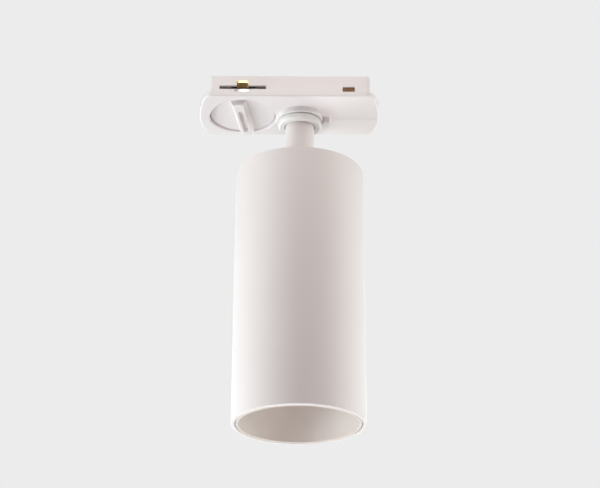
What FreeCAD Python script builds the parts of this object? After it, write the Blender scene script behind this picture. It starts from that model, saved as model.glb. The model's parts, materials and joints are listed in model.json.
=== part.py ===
import FreeCAD, Part
import math
import os

# A tubular spotlight for a single-circuit lighting track. Millimetres, +Z up. The origin is on the axis of
# the swivel, on the underside of the track. The front of the light is -Y, and the lock knob is at -X.

# Head
tube_outer_d = 55.0
tube_wall = 1.5
tube_length = 112.6
tube_edge_r = 0.35
cap_thickness = 3.0
cap_skirt_length = 9.0
cap_skirt_wall = 2.0
cap_gap = 0.1
cap_screw_d = 3.0
cap_screw_angle = 40.0
cap_screw_socket = 1.5
cap_screw_socket_depth = 1.3
cap_screw_recess = 0.15

# Stem and tilt pivot
neck_length = 23.7
stem_d = 12.7
stem_bore_d = 7.0
stem_thread_d = 10.0
tilt_slot_gap = 0.65
pivot_depth = 14.0
pivot_screw_d = 4.0
pivot_running_gap = 0.05
friction_washer_t = 0.75
friction_washer_d = 11.6
washer_split = 0.6
window_width = 6.0
window_height = 7.5
window_above_pivot = 5.0
pivot_head_d = 7.6
pivot_head_h = 2.4
pivot_head_edge_r = 0.8
pivot_key = 2.5
pivot_key_depth = 1.4
pivot_washer_d = 8.0
pivot_washer_t = 0.9
pivot_nut_width = 7.0
pivot_nut_h = 3.2
pivot_thread_proud = 0.9

# Pivot bracket and lamp holder
bracket_t = 1.5
bracket_width = 14.0
bracket_base_gap = 1.15
bracket_flange = 10.5
bracket_hole_cover = 0.6
bracket_screw_pitch = 7.6
m3_screw_d = 3.0
m3_head_d = 5.4
m3_head_h = 1.8
m3_key = 2.0
m3_key_depth = 1.1
m3_nut_width = 5.5
m3_nut_h = 2.4
holder_d = 27.0
holder_height = 15.0
holder_strap_t = 1.2
holder_strap_width = 10.0
holder_strap_margin = 3.2
holder_screw_pitch = 19.0
holder_screw_reach = 6.0
holder_edge_r = 1.0
contact_well = 1.6
contact_t = 1.0
contact_size = 3.2
strap_head_h = 0.9
strap_screw_proud = 0.2

# GU10 lamp
lamp_d = 50.0
lamp_length = 46.5
lamp_base_d = 26.0
lamp_lip = 3.2
lamp_wall = 1.2
lamp_neck_h = 15.0
lamp_shoulder = 1.2
lens_seat = 1.6
lens_ledge = 1.2
board_t = 1.6
board_gap = 0.4
led_count = 6
led_circle_r = 7.0
led_size = 2.8
led_t = 0.8
lens_t = 2.0
pin_pitch = 10.0
pin_head_d = 5.0
pin_neck_d = 3.2
pin_length = 8.0
pin_head_length = 3.0
pin_gap = 0.35
lamp_turn_deg = 30.0
lamp_seat_gap = 0.3
lamp_baffle_gap = 1.9

# Front baffle
baffle_gap = 0.35
baffle_rim_w = 1.2
baffle_rim_height = 4.0
baffle_t = 1.2
baffle_depth = 19.5
baffle_throat_d = 43.5
baffle_edge = 0.25
clip_width = 7.0
clip_t = 0.4
clip_gap = 0.07
clip_count = 3
clip_turn = 30.0

# Adapter housing
plate_left = 44.2
plate_right = 34.9
plate_width = 35.0
plate_end_bulge = 3.3
plate_corner_r = 5.0
plate_side_height = 2.3
plate_mid_thickness = 4.0
plate_edge_r = 0.7
seat_height = 0.9
seat_width = 24.0
seat_margin = 4.0
seam_groove = 0.35
seam_end = 1.0
insert_right = 31.0
insert_width = 15.6
insert_height = 12.5
insert_wall = 1.2
insert_end_wall = 1.4
insert_floor = 1.0
insert_corner_r = 1.5
boss_d = 20.6
boss_height = 1.4
boss_edge_r = 0.5
housing_screw_d = 2.0
housing_screw_head_d = 3.8
housing_screw_head_h = 1.4
housing_boss_d = 5.0
housing_screw_places = ((-9.7, 3.9), (12.0, 4.4), (27.4, 6.2))
housing_screw_cover = 1.4
screw_cross_width = 0.5
screw_cross_depth = 0.6

# Swivel ring and pan stop
swivel_gap = 0.4
ring_d = 18.9
ring_height = 2.6
ring_chamfer = 0.7
ring_edge = 0.2
ring_socket_depth = 1.6
ring_socket_gap = 0.5
stop_tab_reach = 12.6
stop_tab_root = 1.5
stop_tab_rise = 0.4
stop_tab_width = 3.0
lug_inner = 10.4
lug_outer = 13.0
lug_width = 4.2
lug_drop = 2.6
lug_edge_r = 0.3
washer_t = 0.6
stem_nut_d = 12.6
stem_nut_h = 3.0
nut_notch_width = 1.6
nut_notch_depth = 0.7
stem_thread_proud = 0.6
stem_fit = 0.08

# Lock
knob_x = -25.2
pocket_d = 29.3
pocket_edge_r = 0.25
knob_gap = 0.7
knob_recess = 2.1
knob_disc_t = 1.0
knob_axial_gap = 0.1
knob_shaft_d = 9.0
knob_shaft_gap = 0.05
knob_collar_d = 12.0
knob_collar_h = 1.1
fin_width = 4.4
fin_height = 2.85
fin_end_gap = 0.3
fin_edge_r = 0.45
fin_flare = 1.2
fin_turn = 7.3
coin_slot_width = 2.2
coin_slot_length = 18.4
coin_slot_depth = 2.0
coin_slot_shift = 1.3
cam_t = 1.6
cam_proud = 3.8
cam_width = 7.0
rotor_top = 11.0
rotor_counterbore = 1.9
blade_t = 1.0
blade_width = 5.0
blade_proud = 4.7
blade_root = 2.6
blade_level = 6.4
blade_tab_t = 0.5
blade_tab_width = 3.0
blade_tab_height = 2.8
sweep_gap = 0.4
terminal_t = 0.4
terminal_length = 20.5
terminal_height = 2.5
terminal_cover = 0.6
terminal_tag = 3.4
terminal_gap = 0.3
earth_clip_x = 19.0
earth_clip_width = 5.0
earth_clip_t = 0.5
earth_clip_window = 6.2
earth_clip_foot_share = 0.12
earth_clip_crest_share = 0.42
earth_clip_knee_share = 0.86
earth_clip_gap = 0.2
earth_clip_proud = 1.2

# Leads
lead_d = 1.8
lead_spread = 1.1
lead_bend_r = 4.0
lead_joint_gap = 0.6
lead_end_gap = 0.2
lead_end_run = 0.3
head_lead_gap = 0.7
head_lead_x = (4.4, -2.2, 1.2)
head_lead_bend_r = 2.2
lead_hole_gap = 0.15
lead_hole_depth = 4.0
earth_tag_y = 2.2
earth_tag_r = 2.4
earth_tag_t = 0.25
earth_rivet_r = 0.9

face_gap = 0.05
thread_gap = 0.02

V = FreeCAD.Vector
up = V(0, 0, 1)
along_x = V(1, 0, 0)
along_y = V(0, 1, 0)

plate_top = -seat_height
plate_side_bottom = plate_top - plate_side_height
plate_bottom = plate_top - plate_mid_thickness
boss_bottom = plate_bottom - boss_height
ring_top = boss_bottom - swivel_gap
ring_bottom = ring_top - ring_height
head_top = ring_bottom - neck_length
cap_bottom = head_top - cap_thickness
pivot_z = head_top - pivot_depth
head_bottom = head_top - tube_length
tube_inner_r = tube_outer_d / 2 - tube_wall
stem_r = stem_d / 2
slot_half = stem_r + tilt_slot_gap
ear_inner = stem_r + friction_washer_t + 2 * face_gap
ear_outer = ear_inner + bracket_t
bracket_base_top = pivot_z - stem_r - bracket_base_gap
bracket_base_bottom = bracket_base_top - bracket_t
lamp_front = head_bottom + baffle_depth + lamp_baffle_gap
lamp_back = lamp_front + lamp_length
holder_face = lamp_back + lamp_seat_gap
holder_top = holder_face + holder_height
lug_bottom = plate_bottom - lug_drop
pocket_z = plate_bottom + knob_recess
disc_top = pocket_z + knob_disc_t
pocket_roof = disc_top + knob_axial_gap
chamber_floor = insert_floor
chamber_roof = insert_height - insert_wall
chamber_half = insert_width / 2 - insert_wall
cam_reach = insert_width / 2 + cam_proud
blade_reach = insert_width / 2 + blade_proud
earth_clip_reach = insert_width / 2 + earth_clip_proud
insert_left = blade_reach + sweep_gap + insert_end_wall - knob_x
terminal_face = chamber_half - face_gap - terminal_t
rotor_d = 2 * (terminal_face - terminal_gap - blade_tab_t - face_gap)
cam_bottom = chamber_floor + face_gap + knob_collar_h
cam_top = cam_bottom + cam_t
stem_nut_bottom = chamber_floor + washer_t + 2 * face_gap
stem_top = stem_nut_bottom + stem_nut_h + stem_thread_proud
lead_break = ring_top
head_lead_y = bracket_width / 2 + head_lead_gap + lead_d / 2
m3_r = m3_screw_d / 2
m3_hole_r = m3_r + thread_gap
m3_clear_r = m3_r + face_gap
terminal_start = knob_x - terminal_length / 4
terminal_end = terminal_start + terminal_length
rotor_screw_seat = rotor_top - rotor_counterbore
lamp_neck_z = lamp_back - lamp_neck_h
board_top = lamp_neck_z - lamp_wall - face_gap


def rod(r, z0, z1, x=0.0, y=0.0):
    return Part.makeCylinder(r, z1 - z0, V(x, y, z0), up)


def rod_x(r, x0, x1, y, z):
    return Part.makeCylinder(r, x1 - x0, V(x0, y, z), along_x)


def rod_y(r, y0, y1, x, z):
    return Part.makeCylinder(r, y1 - y0, V(x, y0, z), along_y)


def ring(outer_r, inner_r, z0, z1, x=0.0, y=0.0):
    return rod(outer_r, z0, z1, x, y).cut(rod(inner_r, z0, z1, x, y))


def block(x0, x1, y0, y1, z0, z1):
    return Part.makeBox(x1 - x0, y1 - y0, z1 - z0, V(x0, y0, z0))


def turned(shape, degrees, x=0.0, y=0.0, axis=up, z=0.0):
    copy = shape.copy()
    copy.rotate(V(x, y, z), axis, degrees)
    return copy


def lathe(outline, x=0.0, y=0.0):
    points = [V(x + r, y, z) for r, z in outline]
    face = Part.Face(Part.makePolygon(points + points[:1]))
    return face.revolve(V(x, y, 0), up, 360)


def hexagon(across_flats, length):
    corner = across_flats / math.sqrt(3)
    points = [V(corner * math.cos(math.radians(60 * i)), corner * math.sin(math.radians(60 * i)), 0)
              for i in range(6)]
    return Part.Face(Part.makePolygon(points + points[:1])).extrude(V(0, 0, length))


def strip(points, thickness, start, end, normal):
    # A folded strip: flat runs with round bends. Its points are (u, z), where u is Y on a strip that runs
    # along X, and X on one that runs along Y.
    width = end - start
    if normal is along_x:
        place = [V(start, u, z) for u, z in points]
    else:
        place = [V(u, start, z) for u, z in points]
    pieces = []
    for a, b in zip(place, place[1:]):
        side = (b - a).cross(normal).normalize() * (thickness / 2)
        corners = [a + side, b + side, b - side, a - side]
        face = Part.Face(Part.makePolygon(corners + corners[:1]))
        pieces.append(face.extrude(normal * width))
    for corner in place[1:-1]:
        pieces.append(Part.makeCylinder(thickness / 2, width, corner, normal))
    return fused(pieces)


def fused(pieces):
    whole = pieces[0].multiFuse(pieces[1:]) if len(pieces) > 1 else pieces[0]
    return whole.removeSplitter()


def tube_along(points, radii, diameter):
    # Straight runs joined by arcs that are tangent to both.
    edges = []
    start = points[0]
    for before, corner, after, r in zip(points, points[1:], points[2:], radii):
        back = (before - corner).normalize()
        ahead = (after - corner).normalize()
        half = back.getAngle(ahead) / 2
        reach = r / math.tan(half)
        middle = (back + ahead).normalize() * (r / math.sin(half) - r)
        first = corner + back * reach
        last = corner + ahead * reach
        edges.append(Part.LineSegment(start, first).toShape())
        edges.append(Part.Arc(first, corner + middle, last).toShape())
        start = last
    edges.append(Part.LineSegment(start, points[-1]).toShape())
    direction = (points[1] - points[0]).normalize()
    circle = Part.Wire(Part.makeCircle(diameter / 2, points[0], direction))
    return Part.Wire(edges).makePipeShell([circle], True, False)


def cap_head_screw(x, y, seat, tip, crown):
    # An M3 screw with a hexagon socket. It points from its seat to its tip, up or down.
    shank = rod(m3_r, min(seat, tip), max(seat, tip), x, y)
    head = rod(m3_head_d / 2, min(seat, crown), max(seat, crown), x, y)
    socket = hexagon(m3_key, m3_key_depth)
    socket.translate(V(x, y, crown - m3_key_depth if crown > seat else crown))
    return fused([shank, head]).cut(socket)


def edges_at(shape, test):
    return [edge for edge in shape.Edges if test(edge)]


# Adapter housing

def plate_blank():
    half = plate_width / 2
    left = -plate_left + plate_end_bulge
    right = plate_right - plate_end_bulge
    a, b, c, d = V(left, -half, 0), V(right, -half, 0), V(right, half, 0), V(left, half, 0)
    outline = Part.Wire([
        Part.LineSegment(a, b).toShape(),
        Part.Arc(b, V(plate_right, 0, 0), c).toShape(),
        Part.LineSegment(c, d).toShape(),
        Part.Arc(d, V(-plate_left, 0, 0), a).toShape(),
    ])
    slab = Part.Face(outline).extrude(V(0, 0, plate_top - plate_bottom))
    slab.translate(V(0, 0, plate_bottom))
    corners = edges_at(slab, lambda e: abs(e.BoundBox.ZLength) > 1 and e.BoundBox.DiagonalLength < 5)
    slab = slab.makeFillet(plate_corner_r, corners)
    low, high = -plate_left - 1, plate_right + 1
    profile = [V(low, -half - 1, plate_top), V(low, half + 1, plate_top),
               V(low, half + 1, underside(half + 1)), V(low, 0, plate_bottom),
               V(low, -half - 1, underside(half + 1))]
    wedge = Part.Face(Part.makePolygon(profile + profile[:1])).extrude(V(high - low, 0, 0))
    slab = slab.common(wedge).removeSplitter()
    rim = edges_at(slab, lambda e: on_lower_rim(e, half))
    return slab.makeFillet(plate_edge_r, rim)


def underside(y):
    # Height of the shallow V underside at a distance from the seam.
    return plate_bottom + (plate_side_bottom - plate_bottom) * abs(y) / (plate_width / 2)


def on_lower_rim(edge, half):
    box = edge.BoundBox
    if box.ZMax > plate_top - 0.5:
        return False
    along_seam = box.YLength < 0.01 and abs(box.YMin) < 0.01
    return not along_seam


def track_insert():
    half = insert_width / 2
    outside = block(-insert_left, insert_right, -half, half, plate_top, insert_height)
    corners = edges_at(outside, lambda e: abs(e.BoundBox.ZLength) > 1)
    return outside.makeFillet(insert_corner_r, corners)


def chamber():
    room = block(-insert_left + insert_end_wall, insert_right - insert_end_wall,
                 -chamber_half, chamber_half, chamber_floor, chamber_roof)
    for x, z in housing_screw_places:
        room = room.cut(rod_y(housing_boss_d / 2, -chamber_half, chamber_half, x, z))
    return room


def seat_pad():
    half = seat_width / 2
    return block(-plate_left + seat_margin, plate_right - seat_margin, -half, half, plate_top, 0)


def stop_lug():
    lug = block(lug_inner, lug_outer, -lug_width / 2, lug_width / 2, lug_bottom, plate_bottom + 1)
    rim = edges_at(lug, lambda e: e.BoundBox.ZMax < lug_bottom + 0.01)
    return lug.makeFillet(lug_edge_r, rim)


def swivel_boss():
    boss = rod(boss_d / 2, boss_bottom, plate_top)
    rim = edges_at(boss, lambda e: e.BoundBox.ZMax < boss_bottom + 0.01 and e.BoundBox.XLength > 1)
    return boss.makeFillet(boss_edge_r, rim)


def housing():
    shell = fused([plate_blank(), seat_pad(), track_insert(), swivel_boss(), stop_lug()])
    pocket_mouth = plate_bottom - 1
    lock_hole_r = knob_shaft_d / 2 + knob_shaft_gap
    cuts = [
        chamber(),
        rod(pocket_d / 2, pocket_mouth, pocket_roof, knob_x),
        rod(lock_hole_r, pocket_mouth, chamber_floor + 1, knob_x),
        rod(stem_thread_d / 2 + stem_fit, boss_bottom - 1, chamber_floor + 1),
        rod(cam_reach + sweep_gap, cam_bottom - sweep_gap / 2, cam_top + sweep_gap, knob_x),
        rod(blade_reach + sweep_gap, blade_level - sweep_gap, blade_level + blade_t + sweep_gap, knob_x),
        block(earth_clip_x - earth_clip_gap, earth_clip_x + earth_clip_width + earth_clip_gap,
              -plate_width, plate_width, chamber_floor, chamber_floor + earth_clip_window),
    ]
    for x, z in housing_screw_places:
        half = insert_width / 2
        cuts.append(rod_y(housing_screw_head_d / 2 + face_gap, half - housing_screw_head_h, half + 1, x, z))
        cuts.append(rod_y(housing_screw_d / 2 + thread_gap, -half + housing_screw_cover, half, x, z))
    return shell.cut(cuts)


def seam_grooves():
    # A fine V groove where the half shells meet, on both sides of the boss and its lug.
    half = seam_groove / 2
    low = plate_bottom - face_gap
    grooves = []
    for start, end in ((-plate_left - 1, -boss_d / 2 - seam_end), (lug_outer + seam_end, plate_right + 1)):
        points = [V(start, -half, low), V(start, half, low), V(start, 0, plate_bottom + seam_groove)]
        grooves.append(Part.Face(Part.makePolygon(points + points[:1])).extrude(V(end - start, 0, 0)))
    return grooves


def half_of(shape, front):
    reach = plate_width
    span = (-reach, 0) if front else (0, reach)
    side = block(-plate_left - 5, plate_right + 5, span[0], span[1], boss_bottom - 5, insert_height + 5)
    half = shape.common(side)
    mouth = edges_at(half, lambda e: on_pocket_mouth(e.BoundBox))
    return half.makeFillet(pocket_edge_r, mouth).cut(seam_grooves())


def on_pocket_mouth(box):
    return box.ZMax < plate_side_bottom and abs(box.XMax - box.XMin - pocket_d) < face_gap


def housing_screws():
    half = insert_width / 2
    head_base = half - housing_screw_head_h
    arm = housing_screw_head_d / 3
    line = screw_cross_width / 2
    floor = half - screw_cross_depth
    screws = []
    for x, z in housing_screw_places:
        head = rod_y(housing_screw_head_d / 2, head_base, half, x, z)
        shank = rod_y(housing_screw_d / 2, -half + housing_screw_cover + face_gap, head_base, x, z)
        cross = [block(x - arm, x + arm, floor, half + 1, z - line, z + line),
                 block(x - line, x + line, floor, half + 1, z - arm, z + arm)]
        screws.append(fused([head, shank]).cut(cross))
    return Part.makeCompound(screws)


def terminal(side):
    end = terminal_end
    top = chamber_roof - terminal_cover
    leaf = block(terminal_start, end, terminal_face, chamber_half - face_gap, top - terminal_height, top)
    tag = block(end - terminal_tag, end, terminal_face - terminal_tag / 2, terminal_face,
                top - terminal_t, top)
    shape = fused([leaf, tag])
    if side < 0:
        shape = shape.mirror(V(0, 0, 0), along_y)
    return shape


def earth_clip():
    leg = chamber_half - earth_clip_t
    top = chamber_roof - earth_clip_t - face_gap
    foot = chamber_floor + earth_clip_foot_share * earth_clip_window
    crest = chamber_floor + earth_clip_crest_share * earth_clip_window
    knee = chamber_floor + earth_clip_knee_share * earth_clip_window
    side = [(leg, top), (leg, knee), (earth_clip_reach - earth_clip_t / 2, crest), (leg - earth_clip_t, foot)]
    points = [(-y, z) for y, z in reversed(side)] + side
    return strip(points, earth_clip_t, earth_clip_x, earth_clip_x + earth_clip_width, along_x)


def lead_offset(index):
    angle = math.radians(120 * index)
    return lead_spread * math.cos(angle), lead_spread * math.sin(angle)


def adapter_lead(index):
    # Index 0 is the earth lead, from the right; 1 and 2 are live and neutral, from the lock.
    dx, dy = lead_offset(index)
    level = chamber_roof - terminal_cover - terminal_t - face_gap - lead_d / 2
    if index == 0:
        start = V(earth_clip_x + earth_clip_width / 2, 0, level - earth_clip_t)
    else:
        tag_y = terminal_face - terminal_tag / 4
        start = V(terminal_end - terminal_tag, math.copysign(tag_y, dy), level)
    corner = V(dx, dy, start.z)
    end = V(dx, dy, lead_break + lead_joint_gap)
    return tube_along([start, corner, end], [lead_bend_r], lead_d)


# Lock

def lock_knob():
    disc_r = pocket_d / 2 - knob_gap
    disc = rod(disc_r, pocket_z, disc_top, knob_x)
    fin_bottom = pocket_z - fin_height
    crest = fin_width / 2
    foot = crest + fin_flare
    corners = [(-foot, pocket_z), (-crest, fin_bottom), (crest, fin_bottom), (foot, pocket_z)]
    points = [V(knob_x + x, -disc_r, z) for x, z in corners + corners[:1]]
    fin = Part.Face(Part.makePolygon(points)).extrude(V(0, 2 * disc_r, 0))
    fin = fin.common(rod(disc_r - fin_end_gap, fin_bottom, pocket_z, knob_x))
    ridges = edges_at(fin, lambda e: e.BoundBox.ZMax < fin_bottom + 0.01)
    fin = fin.makeFillet(fin_edge_r, ridges)
    half_slot = coin_slot_width / 2
    near = coin_slot_shift - coin_slot_length / 2 + half_slot
    far = coin_slot_shift + coin_slot_length / 2 - half_slot
    slot_top = fin_bottom + coin_slot_depth
    slot = [block(knob_x - half_slot, knob_x + half_slot, near, far, fin_bottom, slot_top)]
    slot += [rod(half_slot, fin_bottom, slot_top, knob_x, y) for y in (near, far)]
    shaft = rod(knob_shaft_d / 2, disc_top, chamber_floor + face_gap, knob_x)
    collar = rod(knob_collar_d / 2, chamber_floor + face_gap, cam_bottom, knob_x)
    handle = turned(fused([disc, fin]).cut(slot), -fin_turn, knob_x)
    knob = fused([handle, shaft, collar])
    return knob.cut(rod(m3_hole_r, pocket_roof, cam_bottom, knob_x))


def lock_cam():
    bar = block(knob_x - cam_width / 2, knob_x + cam_width / 2, -cam_reach, cam_reach, cam_bottom, cam_top)
    bar = bar.common(rod(cam_reach, cam_bottom, cam_top, knob_x))
    plate = fused([bar, rod(rotor_d / 2, cam_bottom, cam_top, knob_x)])
    return plate.cut(rod(m3_hole_r, cam_bottom, cam_top, knob_x))


def blade(side):
    tab_inner = rotor_d / 2 + face_gap
    flat = block(knob_x - blade_width / 2, knob_x + blade_width / 2, blade_root, blade_reach,
                 blade_level, blade_level + blade_t)
    flat = flat.common(rod(blade_reach, blade_level, blade_level + blade_t, knob_x))
    tab = block(knob_x - blade_tab_width / 2, knob_x + blade_tab_width / 2,
                tab_inner, tab_inner + blade_tab_t,
                blade_level + blade_t, blade_level + blade_t + blade_tab_height)
    shape = fused([flat, tab])
    if side < 0:
        shape = shape.mirror(V(0, 0, 0), along_y)
    return shape


def contact_rotor():
    body = rod(rotor_d / 2, cam_top, rotor_top, knob_x)
    cuts = [rod(m3_hole_r, cam_top, rotor_top, knob_x),
            rod(m3_head_d / 2 + face_gap * 2, rotor_screw_seat, rotor_top, knob_x), blade(1), blade(-1)]
    return body.cut(cuts)


def rotor_screw():
    return cap_head_screw(knob_x, 0, rotor_screw_seat, pocket_roof + face_gap, rotor_screw_seat + m3_head_h)


# Stem and swivel

def stem():
    neck = rod(stem_r, pivot_z, ring_bottom + ring_socket_depth)
    barrel = rod_x(stem_r, -stem_r, stem_r, 0, pivot_z)
    thread = rod(stem_thread_d / 2, ring_bottom, stem_top)
    whole = fused([neck, barrel, thread])
    window_bottom = pivot_z + window_above_pivot
    cuts = [
        rod(stem_bore_d / 2, window_bottom, stem_top + 1),
        block(-window_width / 2, window_width / 2, 0, stem_r + 1,
              window_bottom, window_bottom + window_height),
        rod_x(pivot_screw_d / 2 + pivot_running_gap, -stem_r - 1, stem_r + 1, 0, pivot_z),
    ]
    return whole.cut(cuts)


def swivel_ring():
    outer = ring_d / 2
    inner = stem_thread_d / 2 + thread_gap
    socket = stem_r + ring_socket_gap
    socket_top = ring_bottom + ring_socket_depth
    body = lathe([(inner, socket_top), (socket, socket_top), (socket, ring_bottom),
                  (outer - ring_chamfer, ring_bottom), (outer, ring_bottom + ring_chamfer),
                  (outer, ring_top - ring_edge), (outer - ring_edge, ring_top), (inner, ring_top)])
    tab = block(-stop_tab_width / 2, stop_tab_width / 2, outer - stop_tab_root, stop_tab_reach,
                ring_bottom + stop_tab_rise, ring_top - ring_edge)
    return fused([body, tab])


def split_washer(outer_r, inner_r, z0, z1):
    half = washer_split / 2
    return ring(outer_r, inner_r, z0, z1).cut(block(0, outer_r + 1, -half, half, z0, z1))


def spring_washer():
    low = chamber_floor + face_gap
    return split_washer(stem_nut_d / 2 - 2 * face_gap, stem_thread_d / 2 + 2 * face_gap, low, low + washer_t)


def stem_nut():
    outer = stem_nut_d / 2
    top = stem_nut_bottom + stem_nut_h
    half = nut_notch_width / 2
    nut = ring(outer, stem_thread_d / 2 + thread_gap, stem_nut_bottom, top)
    notch = block(-half, half, outer - nut_notch_depth, outer + 1, stem_nut_bottom, top)
    notches = [turned(notch, 90 * i + 45) for i in range(4)]
    return nut.cut(notches)


def stem_lead(index):
    dx, dy = lead_offset(index)
    centre = pivot_z + window_above_pivot + window_height / 2
    bend = lead_bend_r - dy
    level = centre + dy
    end_y = stem_r - lead_end_gap
    points = [V(dx, dy, lead_break - lead_joint_gap), V(dx, dy, level), V(dx, end_y, level)]
    return tube_along(points, [min(bend, end_y - dy - lead_end_run)], lead_d)


# Head

def tilt_slot(top, bottom):
    # The stem stands in the round end of this slot, and swings back through it.
    reach = tube_outer_d
    return fused([rod(slot_half, bottom, top), block(-slot_half, slot_half, 0, reach, bottom, top)])


def wall_slot():
    low = block(-slot_half, slot_half, 0, tube_outer_d, pivot_z, head_top + 1)
    return fused([low, rod_y(slot_half, 0, tube_outer_d, 0, pivot_z)])


def cap_screw_hole(angle, r):
    hole = Part.makeCylinder(r, tube_outer_d, V(0, 0, cap_bottom - cap_skirt_length / 2), along_y)
    return turned(hole, angle)


def body_tube():
    outer = tube_outer_d / 2
    edge = tube_edge_r
    wall = ring(outer, tube_inner_r, head_bottom, head_top)
    rims = edges_at(wall, lambda e: e.BoundBox.ZLength < 0.01 and e.BoundBox.XLength > 2 * tube_inner_r + 1)
    wall = wall.makeFillet(edge, rims)
    holes = [cap_screw_hole(side * cap_screw_angle, cap_screw_d / 2 + thread_gap) for side in (-1, 1)]
    return wall.cut([wall_slot()] + holes)


def top_cap():
    outer = tube_inner_r - cap_gap
    disc = rod(outer, cap_bottom, head_top)
    skirt = ring(outer, outer - cap_skirt_wall, cap_bottom - cap_skirt_length, cap_bottom)
    holes = [cap_screw_hole(side * cap_screw_angle, cap_screw_d / 2 + thread_gap) for side in (-1, 1)]
    blind = [rod(m3_hole_r, cap_bottom, head_top - bracket_hole_cover, x, y)
             for x, y in bracket_screw_places()]
    cuts = [tilt_slot(head_top + 1, cap_bottom - cap_skirt_length - 1)] + holes + blind
    return fused([disc, skirt]).cut(cuts)


def cap_screws():
    start = tube_inner_r - cap_gap - cap_skirt_wall
    end = tube_outer_d / 2 - cap_screw_recess
    z = cap_bottom - cap_skirt_length / 2
    screw = rod_y(cap_screw_d / 2, start, end, 0, z)
    socket = hexagon(cap_screw_socket, cap_screw_socket_depth)
    socket.rotate(V(0, 0, 0), along_x, -90)
    socket.translate(V(0, end - cap_screw_socket_depth, z))
    screw = screw.cut(socket)
    return Part.makeCompound([turned(screw, side * cap_screw_angle) for side in (-1, 1)])


def bracket_screw_places():
    x = ear_outer + bracket_flange / 2
    y = bracket_screw_pitch / 2
    return [(sx * x, sy * y) for sx in (-1, 1) for sy in (-1, 1)]


def pivot_bracket():
    mid = bracket_t / 2
    wall = ear_inner + mid
    top = cap_bottom - mid
    base = bracket_base_top - mid
    far = ear_outer + bracket_flange
    points = [(-far, top), (-wall, top), (-wall, base), (wall, base), (wall, top), (far, top)]
    shape = strip(points, bracket_t, -bracket_width / 2, bracket_width / 2, along_y)
    cuts = [rod_x(pivot_screw_d / 2 + pivot_running_gap, -far, far, 0, pivot_z),
            rod(m3_hole_r, bracket_base_bottom, bracket_base_top)]
    cuts += [rod(m3_clear_r, cap_bottom - bracket_t, cap_bottom, x, y) for x, y in bracket_screw_places()]
    return shape.cut(cuts)


def bracket_screws():
    seat = cap_bottom - bracket_t
    tip = head_top - bracket_hole_cover - face_gap
    return Part.makeCompound([cap_head_screw(x, y, seat, tip, seat - m3_head_h)
                              for x, y in bracket_screw_places()])


def pivot_screw():
    crown = -ear_outer - pivot_head_h
    tip = ear_outer + pivot_washer_t + pivot_nut_h + pivot_thread_proud
    shank = rod_x(pivot_screw_d / 2, -ear_outer, tip, 0, pivot_z)
    head = rod_x(pivot_head_d / 2, crown, -ear_outer, 0, pivot_z)
    rim = edges_at(head, lambda e: e.BoundBox.XMax < crown + 0.01)
    head = head.makeFillet(pivot_head_edge_r, rim)
    socket = hexagon(pivot_key, pivot_key_depth)
    socket.rotate(V(0, 0, 0), along_y, 90)
    socket.translate(V(crown, 0, pivot_z))
    return fused([shank, head]).cut(socket)


def on_pivot(shape, x):
    # Lays a washer or nut that was made upright on the pivot axis.
    copy = turned(shape, 90, axis=along_y)
    copy.translate(V(x, 0, pivot_z))
    return copy


def pivot_washer():
    washer = split_washer(pivot_washer_d / 2, pivot_screw_d / 2 + 2 * face_gap, 0, pivot_washer_t)
    return on_pivot(washer, ear_outer)


def pivot_nut():
    nut = hexagon(pivot_nut_width, pivot_nut_h).cut(rod(pivot_screw_d / 2 + thread_gap, 0, pivot_nut_h))
    return on_pivot(nut, ear_outer + pivot_washer_t)


def friction_washers():
    washer = ring(friction_washer_d / 2, pivot_screw_d / 2 + 2 * face_gap, 0, friction_washer_t)
    inner = stem_r + face_gap
    return Part.makeCompound([on_pivot(washer, inner), on_pivot(washer, -inner - friction_washer_t)])


def holder_strap():
    mid = holder_strap_t / 2
    top = bracket_base_bottom - mid
    low = holder_top + mid
    half = holder_strap_width / 2
    reach = holder_screw_pitch / 2 + holder_strap_margin
    upper = strip([(half, top), (-half, top), (-half, low)], holder_strap_t, -half, half, along_y)
    foot = block(-reach, reach, -half, half, holder_top, holder_top + holder_strap_t)
    shape = fused([upper, foot])
    cuts = [rod(m3_hole_r, top - holder_strap_t, bracket_base_bottom)]
    cuts += [rod(m3_clear_r, holder_top, holder_top + holder_strap_t, side * holder_screw_pitch / 2)
             for side in (-1, 1)]
    return shape.cut(cuts)


def strap_screw():
    top = bracket_base_top
    shank = rod(m3_r, bracket_base_bottom - holder_strap_t - m3_nut_h - strap_screw_proud, top)
    head = rod(m3_head_d / 2, top, top + strap_head_h)
    line = screw_cross_width / 2
    slot = block(-m3_head_d, m3_head_d, -line, line, top + strap_head_h / 2, top + m3_head_h)
    return fused([shank, head]).cut(slot)


def strap_nut():
    nut = hexagon(m3_nut_width, m3_nut_h).cut(rod(m3_hole_r, 0, m3_nut_h))
    nut.translate(V(0, 0, bracket_base_bottom - holder_strap_t - m3_nut_h))
    return nut


def pin_slot(angle_from, angle_to, width, z0, z1):
    # An arc-shaped slot that a lamp pin travels along.
    r = pin_pitch / 2
    ends = [rod(width / 2, z0, z1, r * math.cos(math.radians(a)), r * math.sin(math.radians(a)))
            for a in (angle_from, angle_to)]
    band = ring(r + width / 2, r - width / 2, z0, z1)
    span = Part.makeCylinder(r + width, z1 - z0, V(0, 0, z0), up, angle_to - angle_from)
    span.rotate(V(0, 0, 0), up, angle_from)
    return fused([band.common(span)] + ends)


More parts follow.
